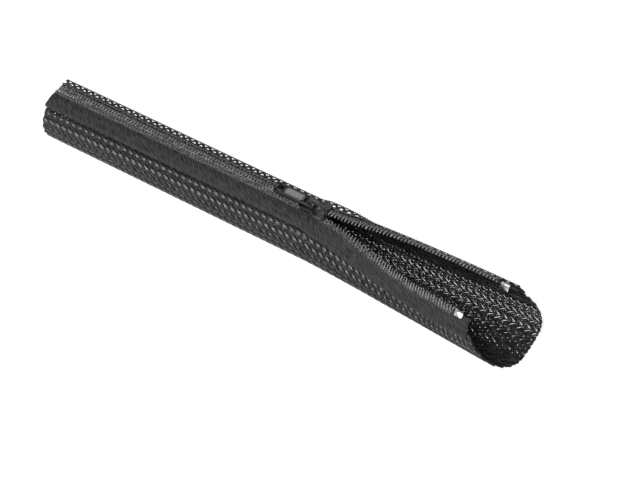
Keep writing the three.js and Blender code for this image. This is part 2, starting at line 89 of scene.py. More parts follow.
@dataclass(frozen=True)
class SleeveForm:
    """The sleeve's curved form, in millimetres, as the construction has it.

    A place is given by s along the zip, by the distance around from the near lip, and by the height
    over the tube's round surface.
    """

    tube_radius: float = 10.3
    closed_length: float = 118.0
    open_length: float = 79.0
    end_slant: float = 10.5
    slant_run: float = 31.0
    near_slant_angle: float = 180.0
    far_slant_angle: float = 130.0
    zip_flat: float = 0.85
    floor_flat: float = 0.45
    flat_ease: float = 0.15
    mouth_half_width: float = 14.8
    mouth_half_height: float = 9.4
    mouth_shift: float = 0.4
    mouth_at: float = 66.0
    spread_start: float = -6.0
    spread_ease: float = 0.1
    near_pull: float = 8.5
    pull_start: float = 15.0
    split_start: float = -7.0
    split_half_gap: float = 1.35
    split_run: float = 3.0
    lens_half_gap: float = 7.6
    lens_run: float = 29.0
    lens_power: float = 1.5
    slider_front: float = -1.0
    origin: tuple[float, float] = (0.0, 0.0)

    @property
    def perimeter(self) -> float:
        """Distance round the closed tube."""
        return 2 * math.pi * self.tube_radius

    @property
    def lip_end(self) -> float:
        """Where the lips end along the zip."""
        return self.open_length - self.end_slant

    def lip_gap(self, s: np.ndarray) -> np.ndarray:
        """Half the gap between the lips.

        Args:
            s: Place along the zip.

        Returns:
            Half the gap there.
        """
        split = np.maximum(s - self.split_start, 0) / self.split_run
        lens = np.maximum(s, 0) / self.lens_run
        return self.split_half_gap * (1 - np.exp(-(split**2))) + self.lens_half_gap * (
            1 - np.exp(-(lens**self.lens_power))
        )

    def spread(self, s: np.ndarray) -> np.ndarray:
        """How far the tube has opened out.

        Args:
            s: Place along the zip.

        Returns:
            0 where the tube is round, 1 where the mouth is fully spread.
        """
        t = np.maximum(s - self.spread_start, 0) / (self.mouth_at - self.spread_start)
        return t * t * (1 + self.spread_ease) / (t + self.spread_ease)

    def section_point(
        self, s: np.ndarray, around: np.ndarray
    ) -> tuple[np.ndarray, np.ndarray, np.ndarray]:
        """A point of the cross-section.

        Args:
            s: Place along the zip.
            around: Distance from the near lip.

        Returns:
            The point's y and z, and its angle from the top.
        """
        spread = self.spread(s)
        half_width = self.tube_radius + (self.mouth_half_width - self.tube_radius) * spread
        half_height = self.tube_radius + (self.mouth_half_height - self.tube_radius) * spread
        lip = np.arcsin(self.lip_gap(s) / half_width)
        angle = lip + 2 * (math.pi - lip) * around / self.perimeter
        top = 2 * half_height - self.zip_flat
        over = (top - half_height * (1 + np.cos(angle))) / self.flat_ease
        z = top - self.flat_ease * np.logaddexp(0, over)
        return -self.mouth_shift * spread - half_width * np.sin(angle), z, angle

    def place(self, s: np.ndarray, around: np.ndarray, height: np.ndarray) -> np.ndarray:
        """Points of the row frame, in metres.

        Args:
            s: Places along the zip.
            around: Distances from the near lip.
            height: Heights over the surface.

        Returns:
            One row of x, y and z for each place.
        """
        s, around, height = np.broadcast_arrays(
            *(np.asarray(v, float) for v in (s, around, height))
        )
        step = 0.02
        y, z, angle = self.section_point(s, around)
        y_on, z_on, _ = self.section_point(s, around + step)
        y_back, z_back, _ = self.section_point(s, around - step)
        size = np.hypot(y_on - y_back, z_on - z_back)
        across, up = (y_on - y_back) / size, (z_on - z_back) / size
        pull = (
            self.near_pull
            * ease(s, self.pull_start, self.lip_end)
            * np.maximum(np.cos(angle / 2), 0) ** 2
        )
        x = s - pull + self.origin[0]
        y = y + height * up + self.origin[1]
        z = np.maximum(z - height * across, self.floor_flat) - self.floor_flat
        return np.stack([x, y, z], axis=-1) * MM

    def from_lip(self, lip: Lip) -> PlaceCorner:
        """The same placing, by the distance from one lip.

        Args:
            lip: The lip to measure from.

        Returns:
            A function of s, the distance from that lip, and the height.
        """
        if lip is Lip.NEAR:
            return self.place
        return lambda s, d, height: self.place(s, self.perimeter - np.asarray(d, float), height)

    def cut_back(self, s: np.ndarray, around: np.ndarray) -> np.ndarray:
        """The braid's slanted open end: it is drawn back towards the lips.

        Args:
            s: Places along the uncut braid.
            around: Distances from the near lip.

        Returns:
            The places after the slant.
        """
        turn = around / self.perimeter
        near = np.minimum(turn * 360 / self.near_slant_angle, 1)
        far = np.minimum((1 - turn) * 360 / self.far_slant_angle, 1)
        short = self.end_slant * np.cos(math.pi / 2 * np.minimum(near, far)) ** 2
        run = np.maximum(s - (self.open_length - self.slant_run), 0) / self.slant_run
        return s - short * run


def form_from_frame() -> SleeveForm:
    """The form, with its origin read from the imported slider.

    Returns:
        The sleeve's form.
    """
    low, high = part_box("slider_body")
    across = (low.y + high.y) / 2 / MM
    along = high.x / MM - SleeveForm.slider_front
    return SleeveForm(origin=(along, across))


FORM = form_from_frame()


def linear(hex_colour: str) -> tuple[float, float, float, float]:
    """A colour for a shader socket.

    Args:
        hex_colour: An sRGB colour such as "#1c1c1e".

    Returns:
        Linear red, green and blue, and an alpha of 1.
    """
    parts = [int(hex_colour[i : i + 2], 16) / 255 for i in (1, 3, 5)]
    linear_parts = [c / 12.92 if c <= 0.04045 else ((c + 0.055) / 1.055) ** 2.4 for c in parts]
    return (*linear_parts, 1.0)


def add_node(tree: bpy.types.NodeTree, kind: str, inputs: dict | None = None, **settings) -> bpy.types.Node:
    """Adds one node with its settings and links.

    Args:
        tree: Where it goes.
        kind: Blender's name of the node's type.
        inputs: Socket names or numbers, each with a value or an output socket to link.
        **settings: The node's own settings.

    Returns:
        The new node.
    """
    node = tree.nodes.new(kind)
    for name, value in settings.items():
        setattr(node, name, value)
    for key, value in (inputs or {}).items():
        if isinstance(value, bpy.types.NodeSocket):
            tree.links.new(value, node.inputs[key])
        else:
            node.inputs[key].default_value = value
    return node


def empty_material(name: str) -> tuple[bpy.types.Material, bpy.types.NodeTree]:
    """A material with an empty node tree.

    Args:
        name: The finish's name.

    Returns:
        The material and its tree.
    """
    material = bpy.data.materials.new(name)
    material.use_nodes = True
    material.node_tree.nodes.clear()
    return material, material.node_tree


def ramp(
    tree: bpy.types.NodeTree, factor: bpy.types.NodeSocket, stops: dict[float, str]
) -> bpy.types.NodeSocket:
    """Colours set out along a factor.

    Args:
        tree: The material's tree.
        factor: The socket that picks the colour.
        stops: sRGB hex colours by their place from 0 to 1.

    Returns:
        The colour socket.
    """
    node = add_node(tree, "ShaderNodeValToRGB", {"Fac": factor})
    elements = node.color_ramp.elements
    for element, (at, colour) in zip(elements, list(stops.items())[:2]):
        element.position = at
        element.color = linear(colour)
    for at, colour in list(stops.items())[2:]:
        elements.new(at).color = linear(colour)
    return node.outputs["Color"]


def speckle(tree: bpy.types.NodeTree, size_mm: float, detail: float) -> bpy.types.NodeSocket:
    """Soft speckles all over a piece, in Object coordinates.

    Args:
        tree: The material's tree.
        size_mm: Rough size of a speckle.
        detail: How fine its edges break up.

    Returns:
        The speckle's strength, from 0 to 1.
    """
    place = add_node(tree, "ShaderNodeTexCoord").outputs["Object"]
    noise = {"Vector": place, "Scale": 1 / (size_mm * MM), "Detail": detail}
    return add_node(tree, "ShaderNodeTexNoise", noise).outputs["Fac"]


@dataclass(frozen=True)
class PetMonofilament:
    """Black PET monofilament, extruded: smooth round strands, each with its own narrow highlight."""

    name: str = "black_pet_monofilament"
    dark: str = "#0c0c0d"
    light: str = "#242425"
    ior: float = 1.57
    specular: float = 0.4
    roughness: tuple[float, float] = (0.2, 0.32)
    fleck_mm: float = 2.2

    def material(self) -> bpy.types.Material:
        """Builds the material; each yarn has its own tone in the attribute "tone".

        Returns:
            The material.
        """
        material, tree = empty_material(self.name)
        tone = add_node(tree, "ShaderNodeAttribute", attribute_name="tone").outputs["Fac"]
        fleck = speckle(tree, self.fleck_mm, 3.0)
        mixed = add_node(tree, "ShaderNodeMath", {0: tone, 1: fleck}, operation="ADD").outputs[0]
        half = add_node(tree, "ShaderNodeMath", {0: mixed, 1: 0.5}, operation="MULTIPLY").outputs[0]
        colour = ramp(tree, half, {0.25: self.dark, 0.8: self.light})
        least, most = self.roughness
        rough = add_node(
            tree, "ShaderNodeMapRange", {"Value": fleck, "To Min": least, "To Max": most}
        ).outputs["Result"]
        shader = add_node(
            tree,
            "ShaderNodeBsdfPrincipled",
            {"Base Color": colour, "Roughness": rough, "IOR": self.ior, "Specular IOR Level": self.specular},
        )
        add_node(tree, "ShaderNodeOutputMaterial", {"Surface": shader.outputs[0]})
        return material


@dataclass(frozen=True)
class WovenTape:
    """Polyester zip tape, woven in a twill: matt, with fine slanted ribs, their hollows darkened as painted
    shade and their crests lightened as painted light.
    """

    name: str = "woven_polyester_tape"
    # dark is painted shade in the rib hollows, light is painted light on the rib crests.
    dark: str = "#030304"
    light: str = "#3e3e40"
    rib_mm: float = 1.15  # real ribs are about 0.5 mm; drawn coarser so that they show
    rib_share: float = 0.07
    fuzz_mm: float = 0.6
    streak: float = 0.35  # how short the noise is along a rib
    slope: float = -1.5
    bump_mm: float = 0.5

    def material(self) -> bpy.types.Material:
        """Builds the material; the weave follows the tape's own UV map, which is in millimetres.

        Returns:
            The material.
        """
        material, tree = empty_material(self.name)
        weave = add_node(tree, "ShaderNodeUVMap", uv_map="UVMap").outputs["UV"]
        parts = add_node(tree, "ShaderNodeSeparateXYZ", {"Vector": weave})
        lean = add_node(
            tree, "ShaderNodeMath", {0: parts.outputs["Y"], 1: self.slope}, operation="MULTIPLY"
        ).outputs[0]
        along = add_node(tree, "ShaderNodeMath", {0: parts.outputs["X"], 1: lean}, operation="ADD").outputs[0]
        drawn = add_node(
            tree, "ShaderNodeMath", {0: parts.outputs["Y"], 1: self.streak}, operation="MULTIPLY"
        ).outputs[0]
        grain = add_node(tree, "ShaderNodeCombineXYZ", {"X": along, "Y": drawn}).outputs[0]
        noise = {"Vector": grain, "Scale": 1 / self.fuzz_mm, "Detail": 4.0, "Roughness": 0.6}
        fuzz = add_node(tree, "ShaderNodeTexNoise", noise).outputs["Fac"]
        turn = add_node(
            tree, "ShaderNodeMath", {0: along, 1: 2 * math.pi / self.rib_mm}, operation="MULTIPLY"
        ).outputs[0]
        rib = add_node(tree, "ShaderNodeMath", {0: turn}, operation="SINE").outputs[0]
        height = add_node(
            tree, "ShaderNodeMath", {0: rib, 1: self.rib_share, 2: fuzz}, operation="MULTIPLY_ADD"
        ).outputs[0]
        # The colour follows the rib height: painted shade in the rib hollows, painted light on the crests, and
        # a random fuzz in the tone.
        colour = ramp(tree, height, {0.36: self.dark, 0.64: self.light})
        bump = add_node(
            tree, "ShaderNodeBump", {"Height": height, "Distance": self.bump_mm * MM, "Strength": 1.0}
        ).outputs["Normal"]
        shader = add_node(
            tree,
            "ShaderNodeBsdfPrincipled",
            {"Base Color": colour, "Roughness": 0.72, "Specular IOR Level": 0.3, "Normal": bump},
        )
        add_node(tree, "ShaderNodeOutputMaterial", {"Surface": shader.outputs[0]})
        return material


@dataclass(frozen=True)
class NylonCoil:
    """Black nylon monofilament, heat-set into the zip's coil: hard and glossy, with its black painted mid grey
    as a painted highlight.
    """

    name: str = "black_nylon_coil"
    # Mid grey, not black: the paleness is a painted highlight that lifts the coil's turns.
    dark: str = "#464648"
    light: str = "#8c8c90"
    ior: float = 1.53
    roughness: float = 0.22
    fleck_mm: float = 1.1

    def material(self) -> bpy.types.Material:
        """Builds the material, a little paler and darker from turn to turn.

        Returns:
            The material.
        """
        material, tree = empty_material(self.name)
        fleck = speckle(tree, self.fleck_mm, 2.0)
        colour = ramp(tree, fleck, {0.35: self.dark, 0.7: self.light})
        bump = add_node(
            tree, "ShaderNodeBump", {"Height": fleck, "Distance": 0.03 * MM, "Strength": 0.5}
        ).outputs["Normal"]
        shader = add_node(
            tree,
            "ShaderNodeBsdfPrincipled",
            {"Base Color": colour, "Roughness": self.roughness, "IOR": self.ior, "Normal": bump},
        )
        add_node(tree, "ShaderNodeOutputMaterial", {"Surface": shader.outputs[0]})
        return material


@dataclass(frozen=True)
class SewingThread:
    """Spun polyester sewing thread: matt, twisted, with a faint fuzz."""

    name: str = "twisted_polyester_thread"
    dark: str = "#1a1a1b"
    light: str = "#58585a"
    twist_mm: float = 0.42

    def material(self) -> bpy.types.Material:
        """Builds the material; slanted bands stand for the twist, darker in its grooves as painted shade and
        paler on its crests as painted highlight.

        Returns:
            The material.
        """
        material, tree = empty_material(self.name)
        place = add_node(tree, "ShaderNodeTexCoord").outputs["Object"]
        turned = add_node(
            tree, "ShaderNodeMapping", {"Vector": place, "Rotation": (0.0, 0.4, 0.7)}
        ).outputs["Vector"]
        twist = add_node(
            tree,
            "ShaderNodeTexWave",
            {"Vector": turned, "Scale": 0.314 / (self.twist_mm * MM), "Distortion": 1.5, "Detail": 2.0},
        ).outputs["Fac"]
        # The twist bands are painted: dark in the grooves as painted shade, pale on the crests as painted
        # highlight.
        colour = ramp(tree, twist, {0.1: self.dark, 0.85: self.light})
        bump = add_node(
            tree, "ShaderNodeBump", {"Height": twist, "Distance": 0.05 * MM, "Strength": 0.8}
        ).outputs["Normal"]
        shader = add_node(
            tree,
            "ShaderNodeBsdfPrincipled",
            {"Base Color": colour, "Roughness": 0.62, "Sheen Weight": 0.2, "Normal": bump},
        )
        add_node(tree, "ShaderNodeOutputMaterial", {"Surface": shader.outputs[0]})
        return material


@dataclass(frozen=True)
class PlatedMetal:
    """Bright nickel plate on pressed aluminium: a mirror with fine press marks."""

    name: str = "bright_nickel_plate"
    colour: str = "#dfe1e4"
    shade: str = "#b4b7bb"
    roughness: tuple[float, float] = (0.16, 0.34)
    mark_mm: float = 0.7

    def material(self) -> bpy.types.Material:
        """Builds the material, with marks in its colour, gloss and bump.

        Returns:
            The material.
        """
        material, tree = empty_material(self.name)
        mark = speckle(tree, self.mark_mm, 4.0)
        colour = ramp(tree, mark, {0.3: self.shade, 0.6: self.colour})
        least, most = self.roughness
        rough = add_node(
            tree, "ShaderNodeMapRange", {"Value": mark, "To Min": least, "To Max": most}
        ).outputs["Result"]
        bump = add_node(
            tree, "ShaderNodeBump", {"Height": mark, "Distance": 0.05 * MM, "Strength": 0.5}
        ).outputs["Normal"]
        shader = add_node(
            tree,
            "ShaderNodeBsdfPrincipled",
            {"Base Color": colour, "Metallic": 1.0, "Roughness": rough, "Normal": bump},
        )
        add_node(tree, "ShaderNodeOutputMaterial", {"Surface": shader.outputs[0]})
        return material


@dataclass(frozen=True)
class BakedEnamel:
    """Baked enamel on die-cast zinc: glossy, faintly rippled, paler along its sharp edges."""

    name: str = "black_baked_enamel"
    colour: str = "#040405"
    edge_colour: str = "#48484b"
    roughness: float = 0.16
    ripple_mm: float = 0.9
    edge: tuple[float, float] = (0.57, 0.7)  # sharpness at which the paler edge starts and is full
    coat: float = 0.2

    def material(self) -> bpy.types.Material:
        """Builds the material; the paler edges are found by their sharpness.

        Returns:
            The material.
        """
        material, tree = empty_material(self.name)
        ripple = speckle(tree, self.ripple_mm, 3.0)
        sharp = add_node(tree, "ShaderNodeNewGeometry").outputs["Pointiness"]
        edge = add_node(
            tree, "ShaderNodeMapRange", {"Value": sharp, "From Min": self.edge[0], "From Max": self.edge[1]}
        ).outputs["Result"]
        # The colour turns paler towards the sharp edges, flecked by the ripple.
        edge_paling = add_node(tree, "ShaderNodeMath", {0: edge, 1: ripple}, operation="MULTIPLY").outputs[0]
        colour = ramp(tree, edge_paling, {0.05: self.colour, 0.75: self.edge_colour})
        bump = add_node(
            tree, "ShaderNodeBump", {"Height": ripple, "Distance": 0.05 * MM, "Strength": 0.35}
        ).outputs["Normal"]
        shader = add_node(
            tree,
            "ShaderNodeBsdfPrincipled",
            {
                "Base Color": colour,
                "Roughness": self.roughness,
                "Coat Weight": self.coat,
                "Coat Roughness": 0.12,
                "Normal": bump,
            },
        )
        add_node(tree, "ShaderNodeOutputMaterial", {"Surface": shader.outputs[0]})
        return material


@dataclass(frozen=True)
class PaleFloor:
    """A pale matt studio sheet that shows white and keeps a faint shadow."""

    name: str = "pale_studio_sheet"
    colour: str = "#a4a4a4"
    shown: float = 0.76

    def material(self) -> bpy.types.Material:
        """Builds the material; what the camera and reflections see is lifted to white.

        Returns:
            The material.
        """
        material, tree = empty_material(self.name)
        path = add_node(tree, "ShaderNodeLightPath")
        seen = add_node(
            tree, "ShaderNodeMath", {0: path.outputs["Is Camera Ray"], 1: path.outputs["Is Glossy Ray"]},
            operation="MAXIMUM",
        ).outputs[0]
        lifted = add_node(
            tree, "ShaderNodeMath", {0: seen, 1: path.outputs["Is Transmission Ray"]}, operation="MAXIMUM"
        ).outputs[0]
        strength = add_node(tree, "ShaderNodeMath", {0: lifted, 1: self.shown}, operation="MULTIPLY").outputs[0]
        sheet = add_node(tree, "ShaderNodeBsdfDiffuse", {"Color": linear(self.colour)})
        lift = add_node(tree, "ShaderNodeEmission", {"Color": linear("#ffffff"), "Strength": strength})
        both = add_node(tree, "ShaderNodeAddShader", {0: sheet.outputs[0], 1: lift.outputs[0]})
        add_node(tree, "ShaderNodeOutputMaterial", {"Surface": both.outputs[0]})
        return material


def deselect() -> None:
    """Leaves nothing selected, so that an operator acts only on what is picked next."""
    for obj in bpy.context.selected_objects:
        obj.select_set(False)


def pick(obj: bpy.types.Object) -> None:
    """Selects one object alone and makes it active.

    Args:
        obj: The object.
    """
    deselect()
    obj.select_set(True)
    bpy.context.view_layer.objects.active = obj


def apply_modifier(obj: bpy.types.Object, kind: str, **settings) -> None:
    """Adds a modifier, sets it and applies it.

    Args:
        obj: The piece.
        kind: Blender's name of the modifier's type.
        **settings: The modifier's settings.
    """
    pick(obj)
    modifier = obj.modifiers.new(kind.lower(), kind)
    for name, value in settings.items():
        setattr(modifier, name, value)
    bpy.ops.object.modifier_apply(modifier=modifier.name)


def smooth(obj: bpy.types.Object, angle: float = 40.0) -> None:
    """Shades a piece smooth up to an angle.

    Args:
        obj: The piece.
        angle: Sharpest angle that is still smooth, in degrees.
    """
    pick(obj)
    bpy.ops.object.shade_smooth_by_angle(angle=math.radians(angle))


def dress(
    obj: bpy.types.Object, body: str, material: bpy.types.Material, stands_for: Sequence[str] = ()
) -> bpy.types.Object:
    """Gives a finished piece its material, body, slot and the CAD nodes that it stands for.

    Args:
        obj: The piece.
        body: The CAD body that it rides on.
        material: Its finish.
        stands_for: CAD nodes that it replaces.

    Returns:
        The piece.
    """
    if not obj.data.materials:
        obj.data.materials.append(material)
    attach(obj, body)
    if stands_for:
        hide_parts(*stands_for)
    triangles = sum(len(p.vertices) - 2 for p in obj.data.polygons)
    log.info("%s on %s: %d triangles", obj.name, body, triangles)
    return obj


def mesh_object(name: str, points: np.ndarray, faces: np.ndarray) -> bpy.types.Object:
    """A mesh object at the origin.

    Args:
        name: The piece's name.
        points: Corners, in metres.
        faces: Corner numbers of each face, or a list of them.

    Returns:
        The object.
    """
    mesh = bpy.data.meshes.new(name)
    mesh.from_pydata(points.tolist(), [], [list(f) for f in faces])
    mesh.update()
    obj = bpy.data.objects.new(name, mesh)
    bpy.context.scene.collection.objects.link(obj)
    return obj


def thread_object(
    name: str, lines: Sequence[np.ndarray], radius: float, swell: Sequence[np.ndarray] | None = None
) -> bpy.types.Object:
    """Round threads drawn along lines, as one mesh with closed ends.

    Args:
        name: The piece's name.
        lines: Points of each thread's middle, in metres.
        radius: Thread radius in millimetres.
        swell: Share of the radius at each point, where it varies.

    Returns:
        The object.
    """
    curve = bpy.data.curves.new(name, "CURVE")
    curve.dimensions = "3D"
    curve.bevel_depth = radius * MM
    curve.bevel_resolution = 1
    curve.use_fill_caps = True
    for number, line in enumerate(lines):
        spline = curve.splines.new("POLY")
        spline.points.add(len(line) - 1)
        flat = np.c_[line, np.ones(len(line))].ravel()
        spline.points.foreach_set("co", flat)
        if swell is not None:
            spline.points.foreach_set("radius", np.asarray(swell[number], float))
    obj = bpy.data.objects.new(name, curve)
    bpy.context.scene.collection.objects.link(obj)
    pick(obj)
    bpy.ops.object.convert(target="MESH")
    obj = bpy.context.view_layer.objects.active
    obj.name = name
    close_seams(obj)
    obj.data.shade_smooth()
    return obj


def close_seams(obj: bpy.types.Object) -> None:
    """Merges doubled corners and turns the faces outwards.

    Args:
        obj: The piece.
    """
    work = bmesh.new()
    work.from_mesh(obj.data)
    bmesh.ops.remove_doubles(work, verts=work.verts, dist=1e-6)
    bmesh.ops.recalc_face_normals(work, faces=work.faces)
    work.to_mesh(obj.data)
    work.free()


def close_normals(obj: bpy.types.Object) -> None:
    """Turns a closed piece's faces outwards without merging anything.

    Args:
        obj: The piece.
    """
    work = bmesh.new()
    work.from_mesh(obj.data)
    bmesh.ops.recalc_face_normals(work, faces=work.faces)
    work.to_mesh(obj.data)
    work.free()


def yarn_profile(width: float, thickness: float, filaments: int) -> np.ndarray:
    """Cross-section of a flat yarn: a row of round strands above, flat below.

    Args:
        width: The yarn's width.
        thickness: Its thickness.
        filaments: How many strands lie side by side.

    Returns:
        Corners, each a distance across and a height.
    """
    half, strand = width / 2, width / filaments
    arch = [(0.0, 0.0), (0.2, 0.36), (0.5, 0.5), (0.8, 0.36)]
    above = [(-half + (k + x) * strand, z * thickness) for k in range(filaments) for x, z in arch]
    below = [(half, 0.0), (half * 0.8, -thickness / 2), (-half * 0.8, -thickness / 2)]
    return np.array(above + below)


@dataclass
class YarnMesh:
    """Gathers yarns, each a row of rings of corners, into one mesh with a tone for each yarn."""

    points: list[np.ndarray] = field(default_factory=list)
    faces: list[list[int]] = field(default_factory=list)
    tones: list[np.ndarray] = field(default_factory=list)
    count: int = 0

    def add(self, rings: np.ndarray, tone: float) -> None:
        """Adds one yarn, closed at both ends.

        Args:
            rings: Corners by ring, each with x, y and z in metres.
            tone: The yarn's tone, from 0 to 1.
        """
        length, corners = rings.shape[:2]
        grid = self.count + np.arange(length * corners).reshape(length, corners)
        turned = np.roll(grid, -1, axis=1)
        quads = np.stack([grid[:-1], turned[:-1], turned[1:], grid[1:]], axis=-1)
        self.faces += quads.reshape(-1, 4).tolist()
        self.faces += [grid[0].tolist(), grid[-1].tolist()]
        self.points.append(rings.reshape(-1, 3))
        self.tones.append(np.full(length * corners, tone, np.float32))
        self.count += length * corners

    def build(self, name: str) -> bpy.types.Object:
        """Makes the object.

        Args:
            name: The piece's name.

        Returns:
            The object, smooth, with the attribute "tone".
        """
        obj = mesh_object(name, np.concatenate(self.points), self.faces)
        close_normals(obj)
        attribute = obj.data.attributes.new("tone", "FLOAT", "POINT")
        attribute.data.foreach_set("value", np.concatenate(self.tones))
        obj.data.shade_smooth()
        return obj


@dataclass
class Braid:
    """The sleeve's tube: two sets of flat yarns, each two over and two under the other set."""

    wall: float = 0.8
    angle: float = 30.0
    yarns_around: int = 34
    rising_width: float = 1.14
    falling_width: float = 1.42
    filaments: int = 3
    strand: float = 0.36
    weave_depth: float = 0.17
    rising_proud: float = 0.07
    near_edge: float = 5.2
    far_edge: float = 2.5
    far_lift: float = 1.8
    step_start: float = 3.4
    step_run: float = 4.0
    step: float = 0.74
    edge_inset: float = 0.25
    uneven_place: float = 0.035
    uneven_width: float = 0.06
    overrun: float = 0.2
    seed: int = 11

    def lift(self, around: np.ndarray) -> np.ndarray:
        """Height of the wall's top over the round surface, where it lies on the far tape.

        Args:
            around: Distances from the near lip.

        Returns:
            The lift there.
        """
        from_far = FORM.perimeter - around
        return self.far_lift * (1 - ease(from_far, self.step_start, self.step_start + self.step_run))

    def float_height(self, crossings: np.ndarray) -> np.ndarray:
        """The wave of a yarn that goes over two and under two.

        Args:
            crossings: Place along the yarn, in crossings.

        Returns:
            Height from -1, under, to 1, over.
        """
        return np.tanh(2 * np.cos(math.pi / 2 * (crossings - 0.5))) / math.tanh(2)

    def yarn(
        self, bias: Bias, number: int, rng: np.random.Generator
    ) -> tuple[np.ndarray, float] | None:
        """Corners of one yarn.

        Args:
            bias: The way it winds.
            number: Its number in its set.
            rng: Source of its small differences.

        Returns:
            Rings of corners, and the yarn's tone, or None where it misses the sleeve.
        """
        low = self.near_edge + self.edge_inset
        high = FORM.perimeter - self.far_edge - self.edge_inset
        hoop = (high - low) / self.yarns_around
        rise = math.tan(math.radians(self.angle))
        shift = rng.normal(0, self.uneven_place)
        tone = rng.random()
        start = low + number * hoop + shift
        s_first = (low - start) / (bias.value * rise)
        s_last = (high - start) / (bias.value * rise)
        first = max(min(s_first, s_last), -FORM.closed_length)
        last = min(max(s_first, s_last), FORM.open_length)
        if last - first < 2 * self.step:
            return None
        count = max(int((last - first) / math.cos(math.radians(self.angle)) / self.step), 2)
        s = np.linspace(first, last, count + 1)
        around = start + bias.value * rise * s
        other = (around + bias.value * rise * s - low) / hoop
        height = bias.value * (self.rising_proud + self.weave_depth * self.float_height(other + number))
        width = self.rising_width if bias is Bias.RISING else self.falling_width
        profile = yarn_profile(width, self.strand, self.filaments)
        sine, cosine = math.sin(math.radians(self.angle)), math.cos(math.radians(self.angle))
        across = profile[:, 0] * (1 - self.uneven_width * rng.random())
        ring_s = s[:, None] - bias.value * sine * across
        ring_around = np.clip(around[:, None] + cosine * across, low - self.overrun, high + self.overrun)
        middle = self.lift(ring_around) - self.wall / 2
        ring_height = middle + height[:, None] + profile[:, 1]
        ring_s = FORM.cut_back(ring_s, ring_around)
        return FORM.place(ring_s, ring_around, ring_height), tone

    def build(self, material: bpy.types.Material) -> None:
        """Makes both sets of yarns, each split into two pieces.

        Args:
            material: The monofilament's finish.
        """
        rng = np.random.default_rng(self.seed)
        rise = math.tan(math.radians(self.angle))
        reach = max(FORM.closed_length, FORM.open_length) * rise
        hoop = FORM.perimeter / self.yarns_around
        margin = int(reach / hoop) + self.yarns_around + 2
        for bias in Bias:
            for part in range(2):
                yarns = YarnMesh()
                for number in range(-margin, margin + self.yarns_around):
                    made = self.yarn(bias, number, rng) if number % 2 == part else None
                    if made is not None:
                        yarns.add(*made)
                obj = yarns.build(f"braid_{bias.name.lower()}_yarns_{part + 1}")
                dress(obj, SLEEVE, material, ["braid"])


